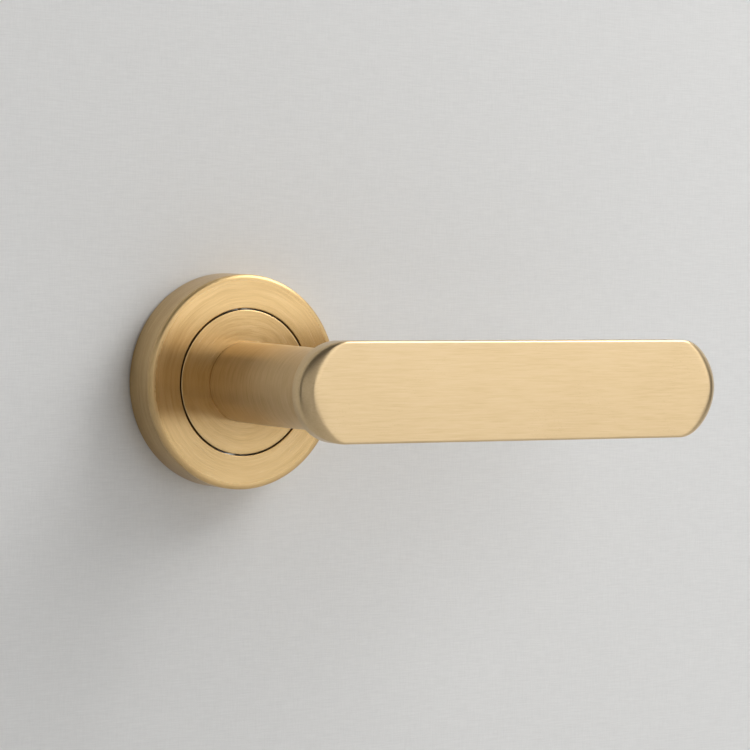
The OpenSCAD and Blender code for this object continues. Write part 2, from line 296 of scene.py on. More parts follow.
def new_group(name, inputs, outputs):
    """An empty node group with named float or vector inputs and float outputs."""
    tree = bpy.data.node_groups.new(name, "ShaderNodeTree")
    for label, start in inputs:
        kind = "NodeSocketVector" if start is None else "NodeSocketFloat"
        socket = tree.interface.new_socket(label, in_out="INPUT", socket_type=kind)
        if start is not None:
            socket.default_value = start
    for label in outputs:
        tree.interface.new_socket(label, in_out="OUTPUT", socket_type="NodeSocketFloat")
    nodes = Nodes(tree)
    return tree, nodes, nodes.add("NodeGroupInput").outputs, nodes.add("NodeGroupOutput").inputs


def grain_group():
    """Lines left by a brushing belt. Vector's X runs along the lines, in metres."""
    tree, n, given, out = new_group(
        "brushed grain", (("Vector", None), ("Length", 0.02), ("Width", 0.0002)),
        ("Lines", "Streaks"))
    x, y, z = n.separate(given["Vector"])
    along = n.math("DIVIDE", x, given["Length"])
    lines = n.combine(along, n.math("DIVIDE", y, given["Width"]),
                      n.math("DIVIDE", z, given["Width"]))
    wide = n.math("MULTIPLY", given["Width"], 3.6)
    streaks = n.combine(n.math("MULTIPLY", along, 0.6), n.math("DIVIDE", y, wide),
                        n.math("DIVIDE", z, wide))
    n.plug(n.full_noise(lines, 3.0, 0.65), out["Lines"])
    n.plug(n.full_noise(streaks, 2.0, 0.6), out["Streaks"])
    return tree


def lathe_group():
    """Lines left by turning: they run round the spindle's axis and follow any profile."""
    tree, n, given, out = new_group(
        "turned grain", (("Vector", None), ("Length", 0.01), ("Width", 0.0002), ("Drift", 0.0002)),
        ("Lines", "Streaks"))
    x, y, z = n.separate(given["Vector"])
    radius = n.hypotenuse(x, z)
    safe = n.math("MAXIMUM", radius, AXIS_R)
    reach = n.math("DIVIDE", 18 * MM, given["Length"])
    round_x = n.math("MULTIPLY", n.math("DIVIDE", x, safe), reach)
    round_z = n.math("MULTIPLY", n.math("DIVIDE", z, safe), reach)
    wander = n.math("MULTIPLY", n.math("SUBTRACT", n.noise(given["Vector"], 140.0, 1.0), 0.5),
                    given["Drift"])
    across = n.math("ADD", n.math("SUBTRACT", radius, y), wander)
    fine = n.combine(round_x, round_z, n.math("DIVIDE", across, given["Width"]))
    wide = n.math("MULTIPLY", given["Width"], 6.0)
    coarse = n.combine(n.math("MULTIPLY", round_x, 0.5), n.math("MULTIPLY", round_z, 0.5),
                       n.math("DIVIDE", across, wide))
    n.plug(n.full_noise(fine, 3.0, 0.65), out["Lines"])
    n.plug(n.full_noise(coarse, 2.0, 0.6), out["Streaks"])
    return tree


def patina_group():
    """Slow tonal clouds and small dark specks."""
    tree, n, given, out = new_group(
        "patina", (("Vector", None), ("Cloud Size", 0.015), ("Speck Size", 0.0012)),
        ("Clouds", "Specks"))
    large = n.in_units_of(given["Vector"], given["Cloud Size"])
    n.plug(n.full_noise(large, 4.0, 0.55), out["Clouds"])
    small = n.in_units_of(given["Vector"], given["Speck Size"])
    cells = n.add("ShaderNodeTexVoronoi", feature="F1")
    n.plug(small, cells.inputs["Vector"])
    chosen = n.math("GREATER_THAN", n.noise(small, 0.21, 0.0), 0.63)
    dot = n.spread(cells.outputs["Distance"], 0.05, 0.16, 1.0, 0.0)
    n.plug(n.math("MULTIPLY", dot, chosen), out["Specks"])
    return tree


def rim_highlight_group():
    """A soft band round one radius and height: the place of a painted highlight along a turned
    piece's rim.
    """
    tree, n, given, out = new_group(
        "painted rim highlight", (("Vector", None), ("Radius", 0.02), ("Height", 0.01), ("Width", 0.0006)),
        ("Mask",))
    x, y, z = n.separate(given["Vector"])
    radius = n.hypotenuse(x, z)
    dr = n.math("SUBTRACT", radius, given["Radius"])
    dh = n.math("ADD", y, given["Height"])
    away = n.hypotenuse(dr, dh)
    ragged = n.math("MULTIPLY", n.noise(given["Vector"], 900.0, 2.0), given["Width"])
    n.plug(n.spread(n.math("SUBTRACT", away, ragged), 0.0, given["Width"], 1.0, 0.0), out["Mask"])
    return tree


GRAIN = grain_group()
LATHE = lathe_group()
PATINA = patina_group()
RIM_HIGHLIGHT = rim_highlight_group()


def new_material(name, metallic, roughness):
    """A material with its Principled shader, node helper and object coordinates."""
    material = bpy.data.materials.new(name)
    material.use_nodes = True
    material.node_tree.nodes.clear()
    n = Nodes(material.node_tree)
    shader = n.add("ShaderNodeBsdfPrincipled")
    output = n.add("ShaderNodeOutputMaterial")
    material.node_tree.links.new(shader.outputs[0], output.inputs[0])
    shader.inputs["Metallic"].default_value = metallic
    shader.inputs["Roughness"].default_value = roughness
    shader.inputs["IOR"].default_value = 1.5
    place = n.add("ShaderNodeTexCoord").outputs["Object"]
    return material, n, shader.inputs, place


def turned_tangent(n, place):
    """Highlights spread across the lathe lines: outwards on a face, along the axis on a wall."""
    x, _, z = n.separate(place)
    radius = n.hypotenuse(x, z)
    safe = n.math("MAXIMUM", radius, AXIS_R)
    return in_world(n, n.combine(n.math("DIVIDE", x, safe), 1.0, n.math("DIVIDE", z, safe)))


def in_world(n, vector):
    """A direction fixed to the piece, as the shader wants it."""
    turn = n.add("ShaderNodeVectorTransform", vector_type="VECTOR", convert_from="OBJECT",
                 convert_to="WORLD")
    n.plug(vector, turn.inputs[0])
    unit = n.add("ShaderNodeVectorMath", operation="NORMALIZE")
    n.plug(turn.outputs[0], unit.inputs[0])
    return unit.outputs[0]


GRIP_BRASS = (0.640, 0.480, 0.275)
TURNED_BRASS = (0.620, 0.435, 0.210)
NECK_BRASS_TINT = (0.620, 0.450, 0.245)
TARNISH = (0.240, 0.150, 0.070)
DEEP_SHADE = (0.80, 0.76, 0.68)
PALE_SHADE = (1.10, 1.13, 1.24)
LINES_SHARE, STREAKS_SHARE, CLOUDS_SHARE, SPECKS_SHARE = 0.50, 0.32, 0.18, 0.6


def brass_colour(n, base, lines, streaks, clouds, specks, contrast):
    """Brass that is paler on the ridges of its grain and darker in the lines and specks."""
    deep = tuple(c * k for c, k in zip(base, DEEP_SHADE))
    pale = tuple(c * k for c, k in zip(base, PALE_SHADE))
    tone = n.math("ADD", n.math("MULTIPLY", lines, LINES_SHARE * contrast),
                  n.math("MULTIPLY", streaks, STREAKS_SHARE * contrast))
    tone = n.math("ADD", tone, n.math("MULTIPLY", clouds, CLOUDS_SHARE * contrast))
    tone = n.math("ADD", tone, 0.5 - 0.5 * contrast)
    colour = n.mix(n.spread(tone, 0.0, 0.5), deep, base)
    colour = n.mix(n.spread(tone, 0.5, 1.0), colour, pale)
    return n.mix(n.math("MULTIPLY", specks, SPECKS_SHARE), colour, TARNISH)


def straight_brass():
    """Brass brushed lengthwise along the lever."""
    material, n, sockets, place = new_material("satin_brass_straight", 1.0, 0.34)
    grain = n.group(GRAIN, Vector=place, Length=5.5 * MM, Width=0.10 * MM)
    patina = n.group(PATINA, Vector=place, Cloud_Size=22 * MM, Speck_Size=2.6 * MM)
    lines, streaks = grain["Lines"], grain["Streaks"]
    clouds, specks = patina["Clouds"], patina["Specks"]
    n.plug(brass_colour(n, GRIP_BRASS, lines, streaks, clouds, specks, 0.72),
           sockets["Base Color"])
    rough = n.math("ADD", 0.27, n.math("MULTIPLY", lines, 0.05))
    rough = n.math("ADD", rough, n.math("MULTIPLY", clouds, 0.03))
    n.plug(rough, sockets["Roughness"])
    sockets["Anisotropic"].default_value = 0.6
    n.plug(in_world(n, n.combine(0.0, 0.0, 1.0)), sockets["Tangent"])
    height = n.math("SUBTRACT", lines, n.math("MULTIPLY", specks, 2.0))
    n.plug(n.bump(height, 0.002 * MM, 0.5), sockets["Normal"])
    return material


def turned_brass(name, base, length, width, tangent, highlight_rims=(), contrast=1.15, drift=0.3,
                 base_rough=0.19, spread=0.7):
    """Brass with lathe lines. The rims given are the (radius, height) places where a paler band is
    painted as a highlight and the metal is rougher.
    """
    material, n, sockets, place = new_material(name, 1.0, 0.34)
    grain = n.group(LATHE, Vector=place, Length=length, Width=width, Drift=drift * MM)
    patina = n.group(PATINA, Vector=place, Cloud_Size=14 * MM, Speck_Size=2.2 * MM)
    lines, streaks = grain["Lines"], grain["Streaks"]
    clouds, specks = patina["Clouds"], patina["Specks"]
    colour = brass_colour(n, base, lines, streaks, clouds, specks, contrast)
    rough = n.math("ADD", base_rough, n.math("MULTIPLY", lines, 0.06))
    rough = n.math("ADD", rough, n.math("MULTIPLY", clouds, 0.04))
    # painted highlight: each rim band below is mixed a fifth of the way towards this paler brass,
    # and its roughness rises
    pale = tuple(min(c * 1.15, 1.0) for c in base)
    for radius, height in highlight_rims:
        highlight_band = n.group(RIM_HIGHLIGHT, Vector=place, Radius=radius, Height=height, Width=0.9 * MM)["Mask"]
        colour = n.mix(n.math("MULTIPLY", highlight_band, 0.2), colour, pale)
        rough = n.math("ADD", rough, n.math("MULTIPLY", highlight_band, 0.16))
    n.plug(colour, sockets["Base Color"])
    n.plug(rough, sockets["Roughness"])
    sockets["Anisotropic"].default_value = spread
    n.plug(tangent(n, place), sockets["Tangent"])
    height = n.math("SUBTRACT", lines, n.math("MULTIPLY", specks, 2.0))
    n.plug(n.bump(height, 0.002 * MM, 0.5), sockets["Normal"])
    return material


def axis_tangent(n, _place):
    """Highlights on a turned barrel spread along the spindle's axis."""
    return in_world(n, n.combine(0.0, 1.0, 0.0))


def plated_steel(name, colour, blush, rough=0.32):
    """Zinc plate on steel: faint drawing lines and a passivation blush."""
    material, n, sockets, place = new_material(name, 1.0, rough)
    grain = n.group(GRAIN, Vector=place, Length=6 * MM, Width=0.12 * MM)
    patina = n.group(PATINA, Vector=place, Cloud_Size=6 * MM, Speck_Size=0.9 * MM)
    tint = n.mix(patina["Clouds"], colour, blush)
    n.plug(n.mix(n.math("MULTIPLY", patina["Specks"], 0.5), tint, (0.10, 0.10, 0.10)),
           sockets["Base Color"])
    n.plug(n.math("ADD", rough - 0.06, n.math("MULTIPLY", grain["Streaks"], 0.14)),
           sockets["Roughness"])
    n.plug(n.bump(grain["Lines"], 0.004 * MM, 0.6), sockets["Normal"])
    return material


def drawn_wire(name, colour, rough):
    """Dark spring steel with a little oil."""
    material, n, sockets, place = new_material(name, 1.0, rough)
    grain = n.group(LATHE, Vector=place, Length=4 * MM, Width=0.08 * MM, Drift=0.05 * MM)
    patina = n.group(PATINA, Vector=place, Cloud_Size=3 * MM, Speck_Size=0.7 * MM)
    shade = tuple(c * 0.6 for c in colour)
    n.plug(n.mix(n.math("MULTIPLY", patina["Clouds"], 0.6), colour, shade), sockets["Base Color"])
    n.plug(n.math("ADD", rough, n.math("MULTIPLY", grain["Streaks"], 0.15)), sockets["Roughness"])
    n.plug(n.bump(grain["Lines"], 0.003 * MM, 0.5), sockets["Normal"])
    sockets["Coat Weight"].default_value = 0.2
    return material


def cast_zinc():
    """Die-cast zinc: fine orange-peel skin, flow clouds and pores."""
    material, n, sockets, place = new_material("die_cast_zinc", 1.0, 0.45)
    patina = n.group(PATINA, Vector=place, Cloud_Size=5 * MM, Speck_Size=0.8 * MM)
    skin = n.noise(place, 2600.0, 3.0, 0.6)
    tint = n.mix(patina["Clouds"], (0.46, 0.47, 0.49), (0.62, 0.63, 0.64))
    n.plug(n.mix(n.math("MULTIPLY", patina["Specks"], 0.7), tint, (0.12, 0.12, 0.13)),
           sockets["Base Color"])
    n.plug(n.spread(skin, 0.2, 0.8, 0.38, 0.58), sockets["Roughness"])
    height = n.math("SUBTRACT", skin, patina["Specks"])
    n.plug(n.bump(height, 0.02 * MM, 0.5), sockets["Normal"])
    return material


def moulded_nylon():
    """Natural nylon: milky, with soft flow marks."""
    material, n, sockets, place = new_material("natural_nylon", 0.0, 0.42)
    patina = n.group(PATINA, Vector=place, Cloud_Size=4 * MM, Speck_Size=1.1 * MM)
    n.plug(n.mix(patina["Clouds"], (0.78, 0.75, 0.66), (0.88, 0.86, 0.79)), sockets["Base Color"])
    n.plug(n.spread(patina["Clouds"], 0.0, 1.0, 0.34, 0.5), sockets["Roughness"])
    n.plug(n.bump(n.noise(place, 3000.0, 2.0), 0.01 * MM, 0.4), sockets["Normal"])
    return material


def soft_rubber():
    """Black rubber with mould dust."""
    material, n, sockets, place = new_material("black_rubber_ring", 0.0, 0.55)
    patina = n.group(PATINA, Vector=place, Cloud_Size=2 * MM, Speck_Size=0.6 * MM)
    n.plug(n.mix(n.math("MULTIPLY", patina["Specks"], 0.6), (0.018, 0.018, 0.018),
                 (0.16, 0.15, 0.14)), sockets["Base Color"])
    n.plug(n.spread(patina["Clouds"], 0.0, 1.0, 0.45, 0.7), sockets["Roughness"])
    n.plug(n.bump(n.noise(place, 4000.0, 2.0), 0.01 * MM, 0.5), sockets["Normal"])
    return material


# ---------------------------------------------------------------- lever pieces

STRAIGHT_BRASS = straight_brass()
EDGE_R = 0.5 * MM               # along the long sides, front and back
NOSE = (3.7 * MM, 4.3 * MM)     # depth and run of the ends' rounding, at the front
BACK_NOSE = (0.6 * MM, 0.9 * MM)


def grip_body():
    """A bar with round ends, grown ring by ring, so that its rim can swell into a nose."""
    bm = bmesh.new()
    segments = 160
    left, right = GRIP_LEFT + GRIP_R, GRIP_RIGHT - GRIP_R
    half_step = Matrix.Rotation(pi / segments, 4, "Z")
    bmesh.ops.create_circle(bm, cap_ends=False, radius=GRIP_R, segments=segments,
                            matrix=Matrix.Rotation(pi / 2, 4, "X") @ half_step)
    bmesh.ops.translate(bm, verts=[v for v in bm.verts if v.co.x > 0], vec=(right - left, 0, 0))
    bmesh.ops.translate(bm, verts=bm.verts, vec=(left, 0, 0))
    long_edges = [e for e in bm.edges if e.calc_length() > (right - left) / 2]
    bmesh.ops.subdivide_edges(bm, edges=long_edges, cuts=40)
    belt = GRIP_BACK + BACK_NOSE[0] + 0.2 * MM

    def rounding(direction, nose):
        """Depth and run of the rim: full on the ends, a plain edge on the long sides."""
        share = smooth(abs(direction.x) ** 0.9)
        return [EDGE_R + (size - EDGE_R) * share for size in nose]

    def raise_from(ring, face, nose, rows):
        """Grows rings from the belt to a face, at shares of the rim's run and depth."""
        edges = [e for e in bm.edges if e.verts[0] in ring and e.verts[1] in ring]
        side = 1 if face > belt else -1
        for inset, drop in rows:
            grown = bmesh.ops.extrude_edge_only(bm, edges=edges)["geom"]
            ring = [g for g in grown if isinstance(g, bmesh.types.BMVert)]
            edges = [g for g in grown if isinstance(g, bmesh.types.BMEdge)]
            edges = [e for e in edges if all(v in ring for v in e.verts)]
            for v in ring:
                centre = Vector((min(max(v.co.x, left), right), 0, 0))
                direction = (Vector((v.co.x, 0, v.co.z)) - centre).normalized()
                depth, run = rounding(direction, nose)
                place = centre + direction * (GRIP_R - inset * run)
                v.co = (place.x, -(face - side * depth * drop), place.z)
        return edges

    steps = 22
    crown = 0.015    # share of the depth that is left for a slow run onto the face
    rows = []
    for i in range(steps + 1):
        a = radians(90 * i / steps)
        rows.append((1 - cos(a), crown + (1 - crown) * (1 - sin(a))))
    front = rows + [(1.15, crown * 0.55), (1.35, crown * 0.2), (1.6, 0.0)]
    back = rows + [(1.15, crown * 0.3), (1.3, 0.0)]
    first = list(bm.verts)
    for v in first:
        v.co.y = -belt
    rim = raise_from(first, GRIP_FRONT, NOSE, front)
    bmesh.ops.edgeloop_fill(bm, edges=rim)
    rim = raise_from(first, GRIP_BACK, BACK_NOSE, back)
    bmesh.ops.edgeloop_fill(bm, edges=rim)
    bmesh.ops.recalc_face_normals(bm, faces=bm.faces)
    return as_object(bm, "grip_body")


add_piece(grip_body(), "lever", STRAIGHT_BRASS, "satin_brass", "lever_grip")

NECK_R = 9.9 * MM
WAIST_R = 9.75 * MM
FLARE_R = 10.0 * MM
WAIST_H = GRIP_BACK - 7.0 * MM
BARREL_SWELL = 0.12 * MM
JOURNAL_R = 8.0 * MM
JOURNAL_LOW = 6.4 * MM
GRUB_H = ROSE_H + 9.2 * MM
GRUB_R = 2.5 * MM
GRUB_BORE = 8 * MM


def neck_body():
    """The turned neck, from its journal in the cassette to its flared end under the grip."""
    foot = 0.15 * MM
    steps = 26
    barrel = []
    for i in range(steps + 1):
        u = i / steps
        barrel.append((NECK_R + (WAIST_R - NECK_R) * smooth(u) + BARREL_SWELL * sin(pi * u),
                       ROSE_H + foot + (WAIST_H - ROSE_H - foot) * u))
    flare = []
    for i in range(1, steps + 1):
        u = i / steps
        flare.append((WAIST_R + (FLARE_R - WAIST_R) * smooth(u),
                      WAIST_H + (GRIP_BACK - WAIST_H) * u))
    journal = [(0, JOURNAL_LOW), (JOURNAL_R - foot, JOURNAL_LOW),
               (JOURNAL_R, JOURNAL_LOW + foot), (JOURNAL_R, ROSE_H), (NECK_R - foot, ROSE_H)]
    profile = journal + barrel + flare + [(0, GRIP_BACK)]
    piece = as_object(turned(profile, 160), "neck_body")
    bore = bmesh.new()
    bmesh.ops.create_cone(bore, cap_ends=True, segments=48, radius1=GRUB_R, radius2=GRUB_R,
                          depth=GRUB_BORE)
    moved(bore, (0, -GRUB_H, -SPINDLE_W / 2 - GRUB_BORE / 2))
    return cut_away(piece, bore)


NECK_BRASS = turned_brass("satin_brass_neck", NECK_BRASS_TINT, 9 * MM, 0.13 * MM, axis_tangent,
                          base_rough=0.33, spread=0.4)
add_piece(neck_body(), "lever", NECK_BRASS, "satin_brass", "lever_neck")


def collar_body():
    """The collar in the rose's face, with a fine chamfer at its rim."""
    edge = 0.18 * MM
    profile = [(JOURNAL_R, COLLAR_UNDER), (COLLAR_R - edge, COLLAR_UNDER),
               (COLLAR_R, COLLAR_UNDER + edge), (COLLAR_R, ROSE_H - edge)]
    profile += arc((COLLAR_R - edge, ROSE_H - edge), edge, 15, 90, 5)
    profile += [(COLLAR_R - 2 * edge, ROSE_H), (JOURNAL_R + edge, ROSE_H), (JOURNAL_R, ROSE_H)]
    return as_object(turned(profile, 192, closed=True), "collar_body")


# the rose's rolled front edge carries a painted highlight band
ROSE_BRASS = turned_brass("satin_brass_rose", TURNED_BRASS, 9 * MM, 0.20 * MM, turned_tangent,
                          highlight_rims=((ROSE_R - 0.3 * MM, ROSE_H - 0.3 * MM),), drift=1.2)
COLLAR_BRASS = turned_brass("satin_brass_collar", TURNED_BRASS, 7 * MM, 0.20 * MM,
                            turned_tangent, drift=1.4)
add_piece(collar_body(), "lever", COLLAR_BRASS, "rose_brass", "neck_collar")

# ---------------------------------------------------------------- rose cover

COVER_WALL = 2.2 * MM
RING_GAP = 0.4 * MM
COVER_EDGE_R = 1.0 * MM


def cover_body():
    """The rose cover: an outer wall, a rolled front edge, and a clean edge at the ring gap."""
    opening = COLLAR_R + RING_GAP
    bore = ROSE_R - COVER_WALL
    edge = 0.15 * MM
    chamfer = 0.4 * MM
    profile = [(ROSE_R - chamfer, 0), (ROSE_R, chamfer), (ROSE_R, chamfer + edge),
               (ROSE_R, ROSE_H - COVER_EDGE_R - edge)]
    profile += arc((ROSE_R - COVER_EDGE_R, ROSE_H - COVER_EDGE_R), COVER_EDGE_R, 0, 90, 12)
    profile += [(ROSE_R - COVER_EDGE_R - 2 * edge, ROSE_H), (opening + 2 * edge, ROSE_H)]
    profile += arc((opening + edge, ROSE_H - edge), edge, 90, 180, 4)
    profile += [(opening, COLLAR_UNDER), (bore - edge, COLLAR_UNDER)]
    profile += [(bore, COLLAR_UNDER - edge), (bore, chamfer), (bore + chamfer, 0)]
    return as_object(turned(profile, 224, closed=True), "cover_body")


add_piece(cover_body(), "rose_cover", ROSE_BRASS, "rose_brass", "rose_cover")

# ---------------------------------------------------------------- finishes of plain parts

PLATED = plated_steel("zinc_plated_steel", (0.66, 0.67, 0.68), (0.72, 0.70, 0.62))
BRIGHT = plated_steel("bright_steel", (0.60, 0.60, 0.61), (0.68, 0.68, 0.69), 0.24)
SPRING_STEEL = drawn_wire("oiled_spring_steel", (0.30, 0.30, 0.32), 0.28)
BLACKED = drawn_wire("blacked_steel", (0.05, 0.05, 0.055), 0.38)
ZINC = cast_zinc()
NYLON = moulded_nylon()
RUBBER = soft_rubber()

# ---------------------------------------------------------------- screws

BOLT_MAJOR_R, BOLT_MINOR_R, BOLT_PITCH = 2.0 * MM, 1.6 * MM, 0.7 * MM
BOLT_SHANK_R, BOLT_SHANK_LOW, BOLT_TIP = 1.74 * MM, -0.3 * MM, 0.9 * MM
SOCKET_FLATS, SOCKET_DEPTH = 2.5 * MM, 1.6 * MM
WOOD_MAJOR_R, WOOD_MINOR_R, WOOD_PITCH = 1.75 * MM, 1.15 * MM, 1.5 * MM
WOOD_SHANK_R, WOOD_SHANK_LOW, WOOD_TIP = 1.2 * MM, -4.2 * MM, 5 * MM
WOOD_THREAD_TOP = -4.0 * MM
CROSS_WIDTH, CROSS_DEPTH, CROSS_REACH = 0.95 * MM, 2.0 * MM, 1.9 * MM
POINT_R = 0.05 * MM
PROUD = 1 * MM    # how far a cutter stands out of the face that it cuts


def threaded(major, minor, pitch, low, high, tip=0.0):
    """A screw thread on the Y axis between two heights, narrowed over its tip's length."""
    steps = 24
    start = low - pitch
    crest, root = pitch / 8, pitch / 4
    flank = (pitch - crest - root) / 2
    profile = [(minor, start), (minor, start + root), (major, start + root + flank),
               (major, start + root + flank + crest), (minor, start + pitch)]
    bm = bmesh.new()
    verts = [bm.verts.new((r, -h, 0)) for r, h in profile]
    edges = [bm.edges.new(pair) for pair in zip(verts, verts[1:])]
    turns = ceil((high - low) / pitch) + 2
    bmesh.ops.spin(bm, geom=verts + edges, cent=(0, 0, 0), axis=(0, -1, 0), angle=2 * pi * turns,
                   dvec=(0, -pitch / steps, 0), steps=steps * turns)
    bmesh.ops.remove_doubles(bm, verts=bm.verts, dist=1e-6)
    for height, outwards in ((low, 1), (high, -1)):
        everything = bm.verts[:] + bm.edges[:] + bm.faces[:]
        bmesh.ops.bisect_plane(bm, geom=everything, dist=1e-8, plane_co=(0, -height, 0),
                               plane_no=(0, outwards, 0), clear_outer=True)
    bmesh.ops.holes_fill(bm, edges=[e for e in bm.edges if e.is_boundary], sides=0)
    if tip:
        for v in bm.verts:
            radius = sqrt(v.co.x ** 2 + v.co.z ** 2)
            most = POINT_R + (major - POINT_R) * min((-v.co.y - low) / tip, 1.0)
            if radius > most:
                v.co.x *= most / radius
                v.co.z *= most / radius
    bmesh.ops.recalc_face_normals(bm, faces=bm.faces)
    return bm


def screw_head(head_r, neck_r, top, low):
    """A countersunk head with a thin land, on a plain shank that reaches down to low."""
    land, edge = 0.2 * MM, 0.08 * MM
    under = top - land - (head_r - neck_r)
    return turned([(0, low), (neck_r, low), (neck_r, under), (head_r, top - land),
                   (head_r, top - edge), (head_r - edge, top), (0, top)], 64)


def cross_cutter(width, depth, reach, top):
    """Two crossed wedges, narrow at their foot, for cutting a screw's cross recess."""
    foot = 0.35
    arms = []
    for turn in (0, pi / 2):
        bm = bmesh.new()
        bmesh.ops.create_cube(bm, size=1.0)
        bmesh.ops.scale(bm, verts=bm.verts, vec=(2 * reach, 2 * depth, width))
        for v in bm.verts:
            if v.co.y > 0:
                v.co.x *= foot
        bmesh.ops.rotate(bm, verts=bm.verts, matrix=Matrix.Rotation(turn, 3, "Y"))
        arms.append(moved(bm, (0, -top, 0)))
    return arms


def through_bolts():
    """M4 machine screws with hex sockets, above and below the spindle."""
    bolts = []
    for side in (-1, 1):
        head = as_object(screw_head(BOLT_HEAD_R, BOLT_SHANK_R, BOLT_TOP, BOLT_SHANK_LOW), "head")
        cut_away(head, hex_bar(SOCKET_FLATS, BOLT_TOP - SOCKET_DEPTH, BOLT_TOP + PROUD))
        thread = threaded(BOLT_MAJOR_R, BOLT_MINOR_R, BOLT_PITCH, -BOLT_IN, 0.0, tip=BOLT_TIP)
        bolts.append(moved(joined([opened(head), thread]), (0, 0, side * FIXING_Z)))
    return as_object(joined(bolts), "through_bolts")


def door_screws():
    """Countersunk wood screws with cross recesses, to the left and right of the spindle."""
    screws = []
    for side in (-1, 1):
        head = as_object(screw_head(WOOD_HEAD_R, WOOD_SHANK_R, WOOD_TOP, WOOD_SHANK_LOW), "head")
        for arm in cross_cutter(CROSS_WIDTH, CROSS_DEPTH, CROSS_REACH, WOOD_TOP):
            cut_away(head, arm)
        thread = threaded(WOOD_MAJOR_R, WOOD_MINOR_R, WOOD_PITCH, -WOOD_IN, WOOD_THREAD_TOP,
                          tip=WOOD_TIP)
        screws.append(moved(joined([opened(head), thread]), (side * WOOD_X, 0, 0)))
    return as_object(joined(screws), "door_screws")


add_piece(through_bolts(), "base", PLATED, "steel", "fixing_bolts", sharp=30)
add_piece(door_screws(), "base", PLATED, "steel", "wood_screws", sharp=30)

# ---------------------------------------------------------------- spindle and spring


def spindle_bar():
    """Square bar with rolled long edges and chamfered ends."""
    chamfer, roll = 1 * MM, 0.45 * MM
    bm = bmesh.new()
    bmesh.ops.create_cube(bm, size=1.0)
    length = SPINDLE_IN + SPINDLE_OUT
    bmesh.ops.scale(bm, verts=bm.verts, vec=(SPINDLE_W, length, SPINDLE_W))
    moved(bm, (0, (SPINDLE_IN - SPINDLE_OUT) / 2, 0))
    ends = [e for e in bm.edges if abs(e.verts[0].co.y - e.verts[1].co.y) < length / 2]
    bmesh.ops.bevel(bm, geom=ends, offset=chamfer, affect="EDGES", segments=1, profile=0.5,
                    material=-1)
    long_edges = [e for e in bm.edges if abs(e.verts[0].co.y - e.verts[1].co.y) > length / 2]
    bmesh.ops.bevel(bm, geom=long_edges, offset=roll, affect="EDGES", segments=4,
                    profile=0.5, material=-1)
    bmesh.ops.recalc_face_normals(bm, faces=bm.faces)
    return as_object(bm, "spindle_bar")


add_piece(spindle_bar(), "lever", PLATED, "steel", "spindle", sharp=30)

WIRE_R = 0.65 * MM
COIL_R = 9.18 * MM
COIL_LOW = -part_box("return_spring")[1][Y] + WIRE_R
COIL_HIGH = -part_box("return_spring")[0][Y] - WIRE_R
LEG_BEND_R = 1.6 * MM
LEG_END_R = 12.9 * MM
FIXED_LEG = radians(13)
MOVING_LEG = radians(121)
COIL_TURNS = 1.7


def coiled_spring():
    """Round wire: a leg, a small bend onto the coil, the coil, and the same back."""
    bend_r = COIL_R + LEG_BEND_R
    bend = asin(LEG_BEND_R / bend_r)
    bend_steps, coil_steps = 8, 150

    def leg(angle, turn, height):
        centre = (bend_r * cos(angle - turn * bend), bend_r * sin(angle - turn * bend))
        points = [(LEG_END_R * cos(angle), LEG_END_R * sin(angle), height)]
        for i in range(bend_steps + 1):
            a = angle + turn * (pi / 2 + (pi / 2 - bend) * i / bend_steps)
            points.append((centre[0] + LEG_BEND_R * cos(a), centre[1] + LEG_BEND_R * sin(a),
                           height))
        return points

    sweep = 2 * pi * COIL_TURNS - 2 * bend
    coil = []
    for i in range(1, coil_steps):
        u = i / coil_steps
        a = FIXED_LEG - bend - sweep * u
        coil.append((COIL_R * cos(a), COIL_R * sin(a), COIL_LOW + (COIL_HIGH - COIL_LOW) * u))
    path = leg(FIXED_LEG, 1, COIL_LOW) + coil + leg(MOVING_LEG, -1, COIL_HIGH)[::-1]
    curve = bpy.data.curves.new("spring_path", "CURVE")
    curve.dimensions = "3D"
    curve.bevel_depth = WIRE_R
    curve.bevel_resolution = 4
    curve.use_fill_caps = True
    spline = curve.splines.new("POLY")
    spline.points.add(len(path) - 1)
    for point, (x, z, height) in zip(spline.points, path):
        point.co = (x, -height, z, 1.0)
    shape = bpy.data.objects.new("spring_shape", curve)
    bpy.context.scene.collection.objects.link(shape)
    bpy.context.view_layer.update()
    mesh = bpy.data.meshes.new_from_object(
        shape.evaluated_get(bpy.context.evaluated_depsgraph_get()))
    bpy.data.objects.remove(shape)
    bm = bmesh.new()
    bm.from_mesh(mesh)
    bmesh.ops.remove_doubles(bm, verts=bm.verts, dist=1e-7)
    bmesh.ops.recalc_face_normals(bm, faces=bm.faces)
    return as_object(bm, "coiled_spring")


spring = add_piece(coiled_spring(), None, SPRING_STEEL, "spring_steel", "return_spring")
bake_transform(spring)

# ---------------------------------------------------------------- finishes of CAD nodes

FINISHES = {
    "grip_screw": BLACKED, "grip_dowels": BRIGHT, "lever_grub_screw": BLACKED,
    "rotor": BRIGHT, "cover_o_ring": RUBBER, "cassette_housing": ZINC, "back_plate": PLATED,
    "back_plate_screws": BRIGHT, "journal_bush": NYLON, "thrust_spring_washer": SPRING_STEEL,
    "rotor_washer": NYLON, "rotor_bush": NYLON, "stop_pins": BRIGHT, "spring_anchor_pin": BRIGHT,
}
for node, material in FINISHES.items():
    for material_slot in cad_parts[node].material_slots:
        material_slot.material = material

# ---------------------------------------------------------------- camera, stage and light

WALL_REACH, WALL_COLOUR = 2.8, (0.80, 0.80, 0.79)
WALL_BEHIND, WALL_LAP = 0.05 * MM, 0.5 * MM    # behind the door's face, and under the housing
FLOOR_REACH, FLOOR_HEIGHT, FLOOR_COLOUR = 2.0, -0.42, (0.72, 0.71, 0.70)
LINEN_SHADE = 0.925
ROOM_LIGHT, ROOM_SEEN = 0.07, 0.62             # as the pieces get it, and as the eye sees it

CAMERA_PLACE = Vector((-441.35, -775.51, 43.0)) * MM
CAMERA_AIM = Vector((46.6, 3.5, 0.68)) * MM
CAMERA_ROLL = radians(1.1)
CAMERA_LENS = 172.6
SENSOR_W = 36


